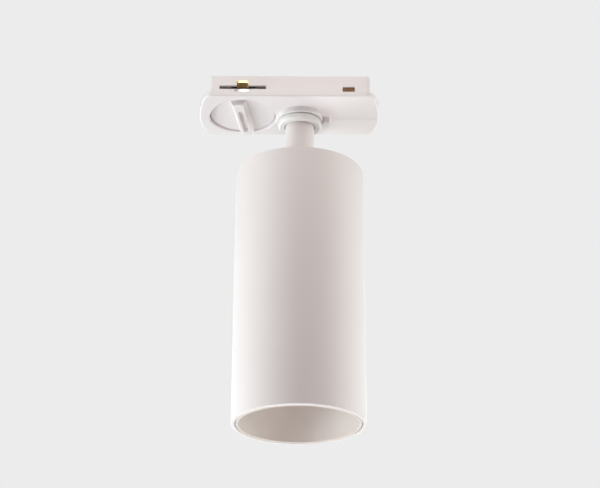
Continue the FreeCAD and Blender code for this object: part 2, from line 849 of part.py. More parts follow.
def lamp_holder():
    body = rod(holder_d / 2, holder_face, holder_top)
    rims = edges_at(body, lambda e: e.BoundBox.ZLength < 0.01 and e.BoundBox.XLength > 1)
    body = body.makeFillet(holder_edge_r, rims)
    lip = holder_face + pin_length - pin_head_length - pin_gap
    well_top = holder_face + pin_length + contact_well
    cuts = []
    for start in (0, 180):
        cuts.append(pin_slot(start - lamp_turn_deg, start, pin_neck_d + 2 * pin_gap, holder_face - 1, lip))
        cuts.append(pin_slot(start - lamp_turn_deg, start, pin_head_d + 2 * pin_gap, lip, well_top))
        entry = rod(pin_head_d / 2 + pin_gap, holder_face - 1, lip, pin_pitch / 2)
        cuts.append(turned(entry, start - lamp_turn_deg))
    cuts += [rod(m3_hole_r, holder_top - holder_screw_reach - 1, holder_top, side * holder_screw_pitch / 2)
             for side in (-1, 1)]
    cuts += [rod(lead_d / 2 + lead_hole_gap, holder_top - lead_hole_depth, holder_top, x, head_lead_y)
             for x in head_lead_x[1:]]
    return body.cut(cuts)


def holder_contacts():
    low = holder_face + pin_length + 2 * face_gap
    half = contact_size / 2
    plate = block(pin_pitch / 2 - half, pin_pitch / 2 + half, -half, half, low, low + contact_t)
    return Part.makeCompound([turned(plate, start) for start in (0, 180)])


def holder_screws():
    seat = holder_top + holder_strap_t
    tip = holder_top - holder_screw_reach
    return Part.makeCompound([cap_head_screw(side * holder_screw_pitch / 2, 0, seat, tip, seat + m3_head_h)
                              for side in (-1, 1)])


def head_lead(index):
    # Live and neutral end in the lamp holder, and earth ends on its strap.
    x = head_lead_x[index]
    top = bracket_base_top
    if index == 0:
        level = holder_top + holder_strap_t + earth_tag_t + lead_d / 2 + face_gap
        end_y = earth_tag_y + earth_rivet_r + lead_end_run
        points = [V(x, head_lead_y, top), V(x, head_lead_y, level), V(x, end_y, level)]
        return tube_along(points, [head_lead_bend_r], lead_d)
    return rod(lead_d / 2, holder_top - lead_hole_depth + face_gap, top, x, head_lead_y)


def earth_tag():
    base = holder_top + holder_strap_t
    x = head_lead_x[0]
    eye = ring(earth_tag_r, earth_rivet_r, base, base + earth_tag_t, x, earth_tag_y)
    rivet = rod(earth_rivet_r, base, base + earth_rivet_r, x, earth_tag_y)
    half = earth_tag_r / 2
    tail = block(x - half, x + half, earth_tag_y + half, earth_tag_y + 2 * earth_tag_r,
                 base, base + earth_tag_t)
    return fused([eye, rivet, tail])


# Lamp

def lamp_housing():
    outer = lamp_d / 2
    base = lamp_base_d / 2
    shoulder = lamp_front + lamp_lip
    seat = lamp_front + lens_t
    return lathe([
        (0, lamp_back), (base, lamp_back), (base, lamp_neck_z), (outer - lamp_shoulder, shoulder),
        (outer, shoulder), (outer, lamp_front), (outer - lens_seat, lamp_front), (outer - lens_seat, seat),
        (outer - lens_seat - lens_ledge, seat), (base - lamp_wall, lamp_neck_z - lamp_wall),
        (0, lamp_neck_z - lamp_wall),
    ])


def lamp_lens():
    return rod(lamp_d / 2 - lens_seat - face_gap, lamp_front + 4 * face_gap, lamp_front + lens_t - face_gap)


def lamp_board():
    return rod(lamp_base_d / 2 - lamp_wall - board_gap, board_top - board_t, board_top)


def lamp_leds():
    top = board_top - board_t
    half = led_size / 2
    chip = block(led_circle_r - half, led_circle_r + half, -half, half, top - led_t, top)
    return Part.makeCompound([turned(chip, 360 / led_count * i) for i in range(led_count)])


def lamp_pins():
    pins = []
    for side in (-1, 1):
        x = side * pin_pitch / 2
        tip = holder_face + pin_length
        neck = rod(pin_neck_d / 2, lamp_back, tip - pin_head_length, x)
        head = rod(pin_head_d / 2, tip - pin_head_length, tip, x)
        pins.append(fused([neck, head]))
    return Part.makeCompound(pins)


# Front baffle

def front_baffle():
    outer = tube_inner_r - baffle_gap
    mouth = outer - baffle_rim_w
    throat = baffle_throat_d / 2
    low = head_bottom
    high = low + baffle_depth
    rim_top = low + baffle_rim_height
    slope = (mouth - throat) / baffle_depth
    edge = baffle_edge
    back_at_rim = mouth + baffle_t - slope * baffle_rim_height
    back_at_flange = mouth + baffle_t - slope * (baffle_depth - baffle_t)
    return lathe([
        (mouth, low + edge), (mouth + edge, low), (outer - edge, low), (outer, low + edge),
        (outer, rim_top), (back_at_rim, rim_top), (back_at_flange, high - baffle_t), (outer, high - baffle_t),
        (outer, high), (throat, high),
    ])


def baffle_clips():
    outer = tube_inner_r - clip_gap
    mouth = tube_inner_r - baffle_gap - baffle_rim_w
    slope = (mouth - baffle_throat_d / 2) / baffle_depth
    low = head_bottom + baffle_rim_height
    foot_z = low + clip_t
    top_z = head_bottom + baffle_depth - baffle_t - clip_t
    half = clip_t / 2
    seat_r = mouth + baffle_t + half + face_gap
    foot_r = seat_r - slope * (foot_z - head_bottom)
    head_r = seat_r - slope * (top_z - head_bottom)
    crest_r = math.sqrt(outer ** 2 - (clip_width / 2) ** 2) - half
    points = [(foot_r, foot_z), (crest_r, (foot_z + top_z) / 2), (head_r, top_z)]
    clip = strip(points, clip_t, -clip_width / 2, clip_width / 2, along_y)
    return Part.makeCompound([turned(clip, 360 / clip_count * i + clip_turn) for i in range(clip_count)])


def build():
    shell = housing()
    parts = {
        "housing_front": half_of(shell, True),
        "housing_rear": half_of(shell, False),
        "housing_screws": housing_screws(),
        "live_terminal": terminal(1),
        "neutral_terminal": terminal(-1),
        "earth_clip": earth_clip(),
        "adapter_earth_lead": adapter_lead(0),
        "adapter_live_lead": adapter_lead(1),
        "adapter_neutral_lead": adapter_lead(2),
        "lock_knob": lock_knob(),
        "lock_cam": lock_cam(),
        "contact_rotor": contact_rotor(),
        "live_blade": blade(1),
        "neutral_blade": blade(-1),
        "rotor_screw": rotor_screw(),
        "stem": stem(),
        "swivel_ring": swivel_ring(),
        "swivel_spring_washer": spring_washer(),
        "stem_nut": stem_nut(),
        "stem_earth_lead": stem_lead(0),
        "stem_live_lead": stem_lead(1),
        "stem_neutral_lead": stem_lead(2),
        "body_tube": body_tube(),
        "top_cap": top_cap(),
        "cap_screws": cap_screws(),
        "pivot_bracket": pivot_bracket(),
        "bracket_screws": bracket_screws(),
        "pivot_screw": pivot_screw(),
        "pivot_spring_washer": pivot_washer(),
        "pivot_nut": pivot_nut(),
        "friction_washers": friction_washers(),
        "holder_strap": holder_strap(),
        "strap_screw": strap_screw(),
        "strap_nut": strap_nut(),
        "lamp_holder": lamp_holder(),
        "holder_contacts": holder_contacts(),
        "holder_screws": holder_screws(),
        "head_earth_lead": head_lead(0),
        "head_live_lead": head_lead(1),
        "head_neutral_lead": head_lead(2),
        "earth_tag": earth_tag(),
        "lamp_housing": lamp_housing(),
        "lamp_lens": lamp_lens(),
        "lamp_board": lamp_board(),
        "lamp_leds": lamp_leds(),
        "lamp_pins": lamp_pins(),
        "front_baffle": front_baffle(),
        "baffle_clips": baffle_clips(),
    }
    os.makedirs("parts", exist_ok=True)
    for name, shape in parts.items():
        shape.exportStep("parts/" + name + ".step")
        print(name, len(shape.Solids), shape.isValid(), round(shape.Volume, 2))


build()
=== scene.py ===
import bpy
import bmesh
import json
import math
from mathutils import Vector, Matrix


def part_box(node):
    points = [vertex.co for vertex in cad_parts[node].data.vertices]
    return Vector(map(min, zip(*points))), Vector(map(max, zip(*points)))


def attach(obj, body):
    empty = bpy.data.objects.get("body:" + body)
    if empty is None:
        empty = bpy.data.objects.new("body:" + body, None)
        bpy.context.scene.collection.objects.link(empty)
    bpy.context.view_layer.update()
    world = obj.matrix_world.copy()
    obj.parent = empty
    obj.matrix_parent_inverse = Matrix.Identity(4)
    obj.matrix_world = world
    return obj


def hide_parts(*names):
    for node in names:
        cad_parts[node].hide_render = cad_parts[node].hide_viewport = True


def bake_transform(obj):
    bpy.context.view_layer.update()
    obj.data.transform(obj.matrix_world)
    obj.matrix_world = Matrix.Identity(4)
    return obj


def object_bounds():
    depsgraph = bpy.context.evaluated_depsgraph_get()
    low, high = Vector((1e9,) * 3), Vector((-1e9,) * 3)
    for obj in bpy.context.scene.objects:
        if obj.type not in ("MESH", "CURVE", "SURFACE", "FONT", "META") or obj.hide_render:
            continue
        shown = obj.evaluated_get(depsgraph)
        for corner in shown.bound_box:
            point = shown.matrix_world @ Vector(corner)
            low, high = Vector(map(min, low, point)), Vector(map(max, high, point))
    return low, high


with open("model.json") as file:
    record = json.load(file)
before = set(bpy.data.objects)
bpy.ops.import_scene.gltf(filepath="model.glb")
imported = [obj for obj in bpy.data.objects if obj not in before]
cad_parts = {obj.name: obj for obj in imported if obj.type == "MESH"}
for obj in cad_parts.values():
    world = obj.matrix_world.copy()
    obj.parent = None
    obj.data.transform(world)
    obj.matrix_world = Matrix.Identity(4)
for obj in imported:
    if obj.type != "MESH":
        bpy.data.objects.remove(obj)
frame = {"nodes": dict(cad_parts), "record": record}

cadLow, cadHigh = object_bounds()
nodes = frame["nodes"]
slotOf = {part["node"]: part["material_slot"] for part in frame["record"]["subparts"]}
mm = 0.001
print("frame loaded,", len(nodes), "nodes")

scene = bpy.context.scene
scene.view_settings.view_transform = "Standard"

cameraPlace = {
    "lens": 90.19,
    "distance": 582.6,     # in front of the swivel's axis
    "side": 0.04,
    "below": 183.8,        # under the rim of the head
    "pitch": 24.38,
    "yaw": -0.02,
    "roll": 0.18,
}


def makeCamera():
    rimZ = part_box("body_tube")[0].z
    data = bpy.data.cameras.new("camera")
    data.lens = cameraPlace["lens"]
    camera = bpy.data.objects.new("camera", data)
    scene.collection.objects.link(camera)
    place = Vector((cameraPlace["side"], -cameraPlace["distance"], -cameraPlace["below"])) * mm
    yaw = Matrix.Rotation(math.radians(cameraPlace["yaw"]), 4, "Z")
    pitch = Matrix.Rotation(math.radians(90 + cameraPlace["pitch"]), 4, "X")
    roll = Matrix.Rotation(math.radians(cameraPlace["roll"]), 4, "Z")
    camera.matrix_world = Matrix.Translation(place + Vector((0, 0, rimZ))) @ yaw @ pitch @ roll
    scene.camera = camera


# Studio: a softbox on each side, fills all round, a pale floor and a pale surround

studio = {
    "surround": (0.84, 0.84, 0.84),
    "surroundGlow": (0.02, 0.02, 0.02),    # what it lights the object with
    "floorDepth": 0.80,
    "floorSize": 16.0,
    "floorPale": (0.80, 0.80, 0.80),
    "floorPatch": 0.97,                    # the darker patches, as a share of floorPale
    "floorGlow": 0.80,                     # keeps the floor pale away from the lights
}

lights = {
    # name: (place, size, power, colour)
    "leftSoftbox": ((-0.45, 0.05, -0.15), (0.3, 0.4), 1.11, (1.00, 0.99, 0.90)),
    "rightSoftbox": ((0.45, 0.05, -0.1), (0.3, 0.4), 1.25, (0.98, 1.00, 0.98)),
    "lowLeftFill": ((-0.8, -0.1, -0.55), (0.6, 0.6), 5.07, (0.77, 0.89, 1.00)),
    "backLeftFill": ((-0.7, 0.7, 0.0), (0.7, 0.7), 2.05, (0.91, 1.00, 0.99)),
    "backRightFill": ((0.7, 0.7, 0.0), (0.7, 0.7), 2.32, (0.88, 0.98, 1.00)),
    "lowFrontFill": ((0.0, -0.9, -0.7), (0.9, 0.6), 2.37, (1.00, 0.82, 0.87)),
    "underLeft": ((-0.3, 0.02, -0.55), (0.2, 0.2), 0.45, (0.81, 0.96, 1.00)),
    "underRight": ((0.3, 0.02, -0.55), (0.2, 0.2), 1.19, (0.90, 0.99, 1.00)),
    "underWash": ((0.0, 0.0, -0.75), (1.4, 1.4), 3.29, (1.00, 0.90, 0.83)),
    "frontTopFill": ((0.0, -0.32, 0.22), (0.25, 0.25), 0.85, (1.00, 0.97, 0.93)),
    "topWash": ((0.0, 0.0, 0.7), (0.8, 0.8), 4.14, (1.00, 1.00, 1.00)),
    "backWash": ((0.0, 1.1, 0.1), (1.4, 0.8), 3.45, (1.00, 1.00, 1.00)),
}


def areaLight(name, place, size, power, colour):
    data = bpy.data.lights.new(name, "AREA")
    data.shape = "RECTANGLE"
    data.size, data.size_y = size
    data.energy = power
    data.color = colour
    light = bpy.data.objects.new(name, data)
    scene.collection.objects.link(light)
    light.location = place
    aim = (cadLow + cadHigh) / 2 - Vector(place)
    light.rotation_euler = aim.to_track_quat("-Z", "Y").to_euler()
    light.visible_camera = False


def makeStudio():
    for name, (place, size, power, colour) in lights.items():
        areaLight(name, place, size, power, colour)
    world = bpy.data.worlds.new("studio")
    scene.world = world
    world.use_nodes = True
    sheet = Sheet(world.node_tree)
    seen = sheet.add("ShaderNodeLightPath", output="Is Camera Ray")
    tone = sheet.mixColour(seen, studio["surroundGlow"], studio["surround"])
    sheet.feed(world.node_tree.nodes["Background"].inputs["Color"], tone)


def makeFloor():
    half = studio["floorSize"] / 2
    mesh = bpy.data.meshes.new("floor")
    z = -studio["floorDepth"]
    corners = [(-half, -half, z), (half, -half, z), (half, half, z), (-half, half, z)]
    mesh.from_pydata(corners, [], [(0, 1, 2, 3)])
    floor = bpy.data.objects.new("floor", mesh)
    scene.collection.objects.link(floor)
    finish = Finish("paleFloor", Roughness=0.9, Specular_IOR_Level=0.1, Emission_Strength=studio["floorGlow"])
    patchy = finish.noise(scale=3, detail=4)
    tone = finish.colour(patchy, [c * studio["floorPatch"] for c in studio["floorPale"]], studio["floorPale"])
    finish.feed(finish.shader.inputs["Emission Color"], tone)
    floor.visible_diffuse = False          # its glow doesn't light the object
    floor.visible_glossy = False
    mesh.materials.append(finish.material)


# Node trees: Wire stands for a socket in a sum, and Sheet.add makes every other node

class Wire:
    def __init__(self, sheet, socket):
        self.sheet = sheet
        self.socket = socket

    def apply(self, operation, first, second):
        kind = "ShaderNodeMath"
        return self.sheet.add(kind, {"operation": operation}, {0: first, 1: second})

    def __add__(self, other):
        return self.apply("ADD", self, other)

    def __radd__(self, other):
        return self.apply("ADD", other, self)

    def __sub__(self, other):
        return self.apply("SUBTRACT", self, other)

    def __rsub__(self, other):
        return self.apply("SUBTRACT", other, self)

    def __mul__(self, other):
        return self.apply("MULTIPLY", self, other)

    def __rmul__(self, other):
        return self.apply("MULTIPLY", other, self)

    def __truediv__(self, other):
        return self.apply("DIVIDE", self, other)

    def __mod__(self, other):
        return self.apply("FLOORED_MODULO", self, other)

    def __gt__(self, other):
        return self.apply("GREATER_THAN", self, other)


class Sheet:
    def __init__(self, tree):
        self.tree = tree

    def feed(self, socket, value):
        if isinstance(value, Wire):
            self.tree.links.new(value.socket, socket)
        else:
            socket.default_value = value

    def add(self, kind, settings=None, inputs=None, output=0):
        node = self.tree.nodes.new(kind)
        for key, value in (settings or {}).items():
            if key == "stops":
                fillRamp(node.color_ramp, value)
            else:
                setattr(node, key, value)
        for key, value in (inputs or {}).items():
            self.feed(node.inputs[key], value)
        return Wire(self, node.outputs[output])

    def mixColour(self, factor, low, high):
        mixed = {0: factor, 6: opaque(low), 7: opaque(high)}
        return self.add("ShaderNodeMix", {"data_type": "RGBA"}, mixed, output=2)


def opaque(tone):
    return tone if isinstance(tone, Wire) else (*tone, 1.0)


def fillRamp(ramp, stops):
    while len(ramp.elements) < len(stops):
        ramp.elements.new(0.5)
    for element, (place, level) in zip(ramp.elements, stops):
        element.position = place
        element.color = (level, level, level, 1)


class Finish(Sheet):
    # A material on one Principled shader. What is the same all over is set on its sockets by name.
    def __init__(self, name, **constants):
        self.material = bpy.data.materials.new(name)
        self.material.use_nodes = True
        super().__init__(self.material.node_tree)
        self.shader = self.tree.nodes["Principled BSDF"]
        for label, value in constants.items():
            self.shader.inputs[label.replace("_", " ")].default_value = value
        self.spot = self.add("ShaderNodeTexCoord", output="Object")

    def noise(self, scale, detail=2.0, rough=0.5, stretch=(1, 1, 1)):
        place = self.spot
        if stretch != (1, 1, 1):
            place = self.add("ShaderNodeMapping", inputs={"Vector": place, "Scale": stretch})
        made = {"Vector": place, "Scale": scale, "Detail": detail, "Roughness": rough}
        return self.add("ShaderNodeTexNoise", inputs=made)

    def ramp(self, factor, *stops):
        return self.add("ShaderNodeValToRGB", {"stops": stops}, {0: factor})

    def along(self, axis):
        return self.add("ShaderNodeSeparateXYZ", inputs={0: self.spot}, output=axis)

    def colour(self, factor, low, high):
        tone = self.mixColour(factor, low, high)
        self.feed(self.shader.inputs["Base Color"], tone)
        return tone

    def rough(self, value):
        self.feed(self.shader.inputs["Roughness"], value)

    def bump(self, height, strength, depth):
        made = {"Height": height, "Strength": strength, "Distance": depth}
        self.feed(self.shader.inputs["Normal"], self.add("ShaderNodeBump", inputs=made))


# Finishes, one function for each slot of the record

coat = {
    "low": (0.805, 0.752, 0.733),
    "high": (0.865, 0.812, 0.794),
    "peel": 900,           # 1 mm ripples of the powder coat
    "grain": 4200,
    "cloud": 38,
    "depth": 0.00004,
}


def powderCoat(name, low, high, roughness):
    finish = Finish(name, IOR=1.5, Specular_IOR_Level=0.35)
    peel = finish.noise(coat["peel"], detail=1.5)
    grain = finish.noise(coat["grain"], detail=3, rough=0.6)
    cloud = finish.noise(coat["cloud"], detail=3)
    finish.colour(cloud * 0.5 + grain * 0.5, low, high)
    finish.rough(roughness + grain * 0.12)
    finish.bump(peel * 0.6 + grain * 0.4, strength=0.22, depth=coat["depth"])
    return finish.material


nylon = {
    "spark": 3000,         # texture of the spark-eroded mould
    "flow": 45,
    "scuffs": 260,
    "depth": 0.00003,
}


def mouldedNylon(name, low, high, roughness, texture=0.14):
    finish = Finish(name, IOR=1.53)
    spark = finish.noise(nylon["spark"], detail=3, rough=0.65)
    flow = finish.noise(nylon["flow"], detail=2, stretch=(0.4, 1, 1))
    scuff = finish.ramp(finish.noise(nylon["scuffs"], detail=5, rough=0.7, stretch=(1, 0.12, 1)),
                        (0.60, 0), (0.72, 1))
    finish.colour(flow * 0.7 + spark * 0.3 - scuff * 0.12, low, high)
    finish.rough(roughness + spark * 0.10 + scuff * 0.10)
    finish.bump(spark + scuff * 0.2, texture, nylon["depth"])
    return finish.material


def platedSteel(name):
    finish = Finish(name, Metallic=1.0)
    spangle = finish.noise(scale=320, detail=3, rough=0.6)
    drawn = finish.noise(scale=900, detail=4, rough=0.7, stretch=(1, 1, 0.06))
    tint = finish.noise(scale=90, detail=2)
    finish.colour(tint * 0.6 + spangle * 0.4, (0.50, 0.53, 0.58), (0.74, 0.73, 0.68))
    finish.rough(0.24 + spangle * 0.14 + drawn * 0.12)
    finish.bump(drawn, strength=0.2, depth=0.00003)
    return finish.material


def sheetBrass(name, bright, dull):
    finish = Finish(name, Metallic=1.0)
    rolled = finish.noise(scale=1100, detail=4, rough=0.7, stretch=(0.08, 1, 1))
    tarnish = finish.ramp(finish.noise(scale=140, detail=5, rough=0.6), (0.45, 0), (0.72, 1))
    finish.colour(tarnish, bright, dull)
    finish.rough(0.22 + tarnish * 0.22 + rolled * 0.10)
    finish.bump(rolled, strength=0.18, depth=0.00002)
    return finish.material


def steatite(name):
    finish = Finish(name, IOR=1.6)
    grain = finish.noise(scale=2600, detail=4, rough=0.7)
    fleck = finish.ramp(finish.noise(scale=700, detail=2), (0.66, 0), (0.74, 1))
    finish.colour(grain * 0.8 - fleck * 0.5, (0.72, 0.68, 0.60), (0.88, 0.86, 0.80))
    finish.rough(0.62 + grain * 0.2)
    finish.bump(grain, strength=0.3, depth=0.00006)
    return finish.material


def silicone(name, low, high):
    finish = Finish(name, IOR=1.41)
    skin = finish.noise(scale=1800, detail=2)
    finish.colour(skin, low, high)
    return rubbery(finish, skin)


def rubbery(finish, skin):
    finish.rough(0.34 + skin * 0.12)
    finish.bump(skin, strength=0.1, depth=0.00003)
    return finish.material


def twoTone(finish, skin, side):
    green = finish.mixColour(skin, (0.05, 0.30, 0.06), (0.08, 0.38, 0.09))
    yellow = finish.mixColour(skin, (0.75, 0.60, 0.04), (0.84, 0.70, 0.07))
    finish.colour(side, green, yellow)
    return rubbery(finish, skin)


def stripedSilicone(name, axis, middle):
    # green and yellow, with the border along the lead
    finish = Finish(name, IOR=1.41)
    skin = finish.noise(scale=1800, detail=2)
    return twoTone(finish, skin, finish.along(axis) + skin * 0.00004 > middle)


def frostedLens(name):
    finish = Finish(name, IOR=1.49, Transmission_Weight=0.75)
    frost = finish.noise(scale=5200, detail=2)
    finish.colour(frost, (0.90, 0.92, 0.93), (0.97, 0.98, 0.98))
    finish.rough(0.22 + frost * 0.12)
    finish.bump(frost, strength=0.12, depth=0.00002)
    return finish.material


def solderMask(name):
    finish = Finish(name, IOR=1.5)
    track = finish.ramp(finish.noise(scale=420, detail=0, stretch=(1, 0.25, 1)), (0.50, 0), (0.53, 1))
    speck = finish.noise(scale=3500, detail=2)
    finish.colour(track * 0.6 + speck * 0.4, (0.70, 0.74, 0.72), (0.86, 0.88, 0.86))
    finish.rough(0.32 + speck * 0.12)
    finish.bump(track, strength=0.4, depth=0.00003)
    return finish.material


def phosphor(name):
    finish = Finish(name, IOR=1.45)
    grain = finish.noise(scale=9000, detail=2)
    finish.colour(grain, (0.86, 0.62, 0.07), (0.93, 0.74, 0.16))
    finish.rough(0.30 + grain * 0.15)
    finish.bump(grain, strength=0.2, depth=0.00002)
    return finish.material


materials = {
    "white_nylon": mouldedNylon("whiteNylon", (0.852, 0.808, 0.803), (0.908, 0.865, 0.860), 0.34),
    "ring_nylon": mouldedNylon("ringNylon", (0.830, 0.826, 0.795), (0.880, 0.875, 0.845), 0.30, 0.08),
    "white_coat": powderCoat("whiteCoat", coat["low"], coat["high"], 0.52),
    # inside of the mouth: a white baffle whose base colour is darkened and browned, painted shade standing in
    # for the shade inside the tube
    "baffle_white": powderCoat("baffleWhitePaintedShade", (0.690, 0.612, 0.560), (0.750, 0.672, 0.620), 0.58),
    "zinc_steel": platedSteel("zincSteel"),
    "brass": sheetBrass("brass", (0.78, 0.58, 0.26), (0.52, 0.34, 0.14)),
    "bronze": sheetBrass("springBronze", (0.66, 0.42, 0.22), (0.42, 0.24, 0.12)),
    "black_nylon": mouldedNylon("blackNylon", (0.018, 0.018, 0.020), (0.045, 0.045, 0.048), 0.42),
    "grey_nylon": mouldedNylon("greyNylon", (0.30, 0.30, 0.30), (0.40, 0.40, 0.40), 0.40),
    "ceramic": steatite("steatite"),
    "lead_live": silicone("brownLead", (0.13, 0.055, 0.022), (0.18, 0.080, 0.035)),
    "lead_neutral": silicone("blueLead", (0.015, 0.06, 0.32), (0.025, 0.09, 0.42)),
    "lead_earth": stripedSilicone("earthLead", "X", 0.0011),
    "lamp_white": mouldedNylon("lampWhite", (0.80, 0.80, 0.80), (0.88, 0.88, 0.88), 0.26, 0.05),
    "lens_clear": frostedLens("frostedLens"),
    "board": solderMask("solderMask"),
    "led_yellow": phosphor("phosphor"),
}


def dressNodes():
    striped = {
        "adapter_earth_lead": ("Y", 0.0),
        "head_earth_lead": ("X", midpoint("head_earth_lead").x),
    }
    for name, node in nodes.items():
        material = materials[slotOf[name]]
        if name in striped:
            material = stripedSilicone("stripes_" + name, *striped[name])
        node.data.materials.clear()
        node.data.materials.append(material)


def midpoint(name):
    low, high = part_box(name)
    return (low + high) / 2


makeCamera()
makeStudio()
makeFloor()
print("camera, studio and floor made")
dressNodes()
print("finishes made,", len(materials))


# Geometry Nodes: a tree is run once on a starting mesh, and its result is kept as a plain mesh

socketKinds = {int: "NodeSocketInt", float: "NodeSocketFloat", bpy.types.Material: "NodeSocketMaterial"}


def grow(name, start, build, sizes):
    tree = bpy.data.node_groups.new(name, "GeometryNodeTree")
    tree.interface.new_socket("Mesh", in_out="INPUT", socket_type="NodeSocketGeometry")
    keys = {}
    for label, value in sizes.items():
        kind = socketKinds[type(value)]
        keys[label] = tree.interface.new_socket(label, in_out="INPUT", socket_type=kind).identifier
    tree.interface.new_socket("Mesh", in_out="OUTPUT", socket_type="NodeSocketGeometry")
    sheet = Sheet(tree)
    given = tree.nodes.new("NodeGroupInput")
    wires = {label: Wire(sheet, given.outputs[label]) for label in sizes}
    shape = build(sheet, Wire(sheet, given.outputs["Mesh"]), wires)
    solid = sheet.add("GeometryNodeRealizeInstances", inputs={0: shape})
    dressed = sheet.add("GeometryNodeSetMaterial", inputs={"Geometry": solid, "Material": wires["Finish"]})
    out = tree.nodes.new("NodeGroupOutput")
    sheet.feed(out.inputs["Mesh"], dressed)
    piece = bpy.data.objects.new(name, start)
    scene.collection.objects.link(piece)
    modifier = piece.modifiers.new(name, "NODES")
    modifier.node_group = tree
    for label, value in sizes.items():
        modifier[keys[label]] = value
    whole = piece.evaluated_get(bpy.context.evaluated_depsgraph_get())
    mesh = bpy.data.meshes.new_from_object(whole)
    piece.modifiers.remove(modifier)
    piece.data = mesh
    return piece


def finished(shape, name):
    bmesh.ops.recalc_face_normals(shape, faces=shape.faces)
    mesh = bpy.data.meshes.new(name)
    shape.to_mesh(mesh)
    shape.free()
    return mesh


def lathed(outline, segments):
    # a closed turned mesh about the Z axis, from (radius, height) points that start and end on it
    shape = bmesh.new()
    rings = []
    for radius, z in outline:
        if radius < 1e-6:
            rings.append([shape.verts.new((0, 0, z))])
        else:
            rings.append([shape.verts.new((radius * math.cos(2 * math.pi * i / segments),
                                           radius * math.sin(2 * math.pi * i / segments), z))
                          for i in range(segments)])
    for a, b in zip(rings, rings[1:]):
        for i in range(segments):
            corners = [a[i % len(a)], a[(i + 1) % len(a)], b[(i + 1) % len(b)], b[i % len(b)]]
            shape.faces.new(list(dict.fromkeys(corners)))
    return finished(shape, "lathed")


def smoothed(piece, degrees=32):
    piece.data.shade_smooth()
    piece.data.set_sharp_from_angle(angle=math.radians(degrees))
    return piece


def lengthwise(points, order=4):
    # the polyline of a NURBS spline through its end points, in millimetres like its points
    curve = bpy.data.curves.new("route", "CURVE")
    curve.dimensions = "3D"
    curve.resolution_u = 8
    spline = curve.splines.new("NURBS")
    spline.points.add(len(points) - 1)
    for knot, place in zip(spline.points, points):
        knot.co = (*(Vector(place) * mm), 1)
    spline.order_u = order
    spline.use_endpoint_u = True
    route = bpy.data.objects.new("route", curve)
    scene.collection.objects.link(route)
    line = bpy.data.meshes.new_from_object(route.evaluated_get(bpy.context.evaluated_depsgraph_get()))
    bpy.data.objects.remove(route)
    return line


# Lamp front: a clear disc with a honeycomb of lenslets on its outer face

lens = {
    "pitch": 2.4,
    "rows": 21,
    "bulge": 0.35,
    "plainRim": 1.6,
    "sides": 10,
}


def honeycomb(sheet, lenslet, given):
    rows, pitch = given["Rows"], given["Pitch"]
    span = (rows - 1) * pitch
    grid = sheet.add("GeometryNodeMeshGrid", inputs={
        "Size X": span, "Size Y": span * math.sin(math.pi / 3), "Vertices X": rows, "Vertices Y": rows})
    index = sheet.add("GeometryNodeInputIndex")
    shift = sheet.add("ShaderNodeCombineXYZ", inputs={"X": (index % rows % 2 - 0.5) * pitch / 2})
    staggered = sheet.add("GeometryNodeSetPosition", inputs={"Geometry": grid, "Offset": shift})
    place = sheet.add("GeometryNodeInputPosition")
    reach = sheet.add("ShaderNodeVectorMath", {"operation": "LENGTH"}, {0: place}, output="Value")
    outside = {"Geometry": staggered, "Selection": reach > given["Reach"]}
    kept = sheet.add("GeometryNodeDeleteGeometry", {"domain": "POINT"}, outside)
    lenslets = sheet.add("GeometryNodeInstanceOnPoints", inputs={"Points": kept, "Instance": lenslet})
    disc = sheet.add("GeometryNodeMeshCylinder", inputs={
        "Vertices": 96, "Radius": given["Radius"], "Depth": given["Thickness"]})
    lift = sheet.add("ShaderNodeCombineXYZ", inputs={"Z": given["Face"] + given["Thickness"] / 2})
    disc = sheet.add("GeometryNodeTransform", inputs={"Geometry": disc, "Translation": lift})
    both = sheet.add("GeometryNodeJoinGeometry", inputs={0: disc})
    sheet.feed(both.socket.node.inputs[0], lenslets)
    return both


def makeLens():
    low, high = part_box("lamp_lens")
    radius = lens["pitch"] / 2 * mm
    bulge = lens["bulge"] * mm
    face = low.z + bulge
    slopes = (0, math.pi / 5, math.pi / 2.8, math.pi / 2)
    dome = [(radius * math.sin(a), face - bulge * math.cos(a)) for a in slopes]
    sizes = {
        "Rows": lens["rows"],
        "Pitch": lens["pitch"] * mm,
        "Reach": high.x - lens["plainRim"] * mm,
        "Radius": high.x,
        "Thickness": high.z - face,
        "Face": face,
        "Finish": materials["lens_clear"],
    }
    start = lathed(dome + [(0, face + bulge / 2)], lens["sides"])
    piece = smoothed(grow("lampLens", start, honeycomb, sizes))
    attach(piece, "lamp")
    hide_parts("lamp_lens")


# Lamp body: cooling ribs up its cone, and the light sources on the board

lampBody = {
    "ribs": 30,
    "neckRadius": 13.0,
    "neckHeight": 15.0,
    "lip": 3.2,
    "shoulder": 1.2,
    "ribProud": 0.9,
    "ribRoot": 0.4,        # how deep a rib stands in the wall
    "ribWidth": 1.0,
    "ribCrest": 0.6,       # its width there, as a share
    "sources": 6,
    "sourceCircle": 7.0,
    "domeRadius": 1.05,
    "domeHeight": 0.3,
    "domeSides": 20,
    "packageEdge": 0.12,
}


def aroundAxis(sheet, shape, given):
    spots = sheet.add("GeometryNodeMeshLine", inputs={"Count": given["Count"], "Offset": (0, 0, 0)})
    index = sheet.add("GeometryNodeInputIndex")
    turn = sheet.add("ShaderNodeCombineXYZ", inputs={"Z": index * (2 * math.pi) / given["Count"]})
    copies = {"Points": spots, "Instance": shape, "Rotation": turn}
    return sheet.add("GeometryNodeInstanceOnPoints", inputs=copies)


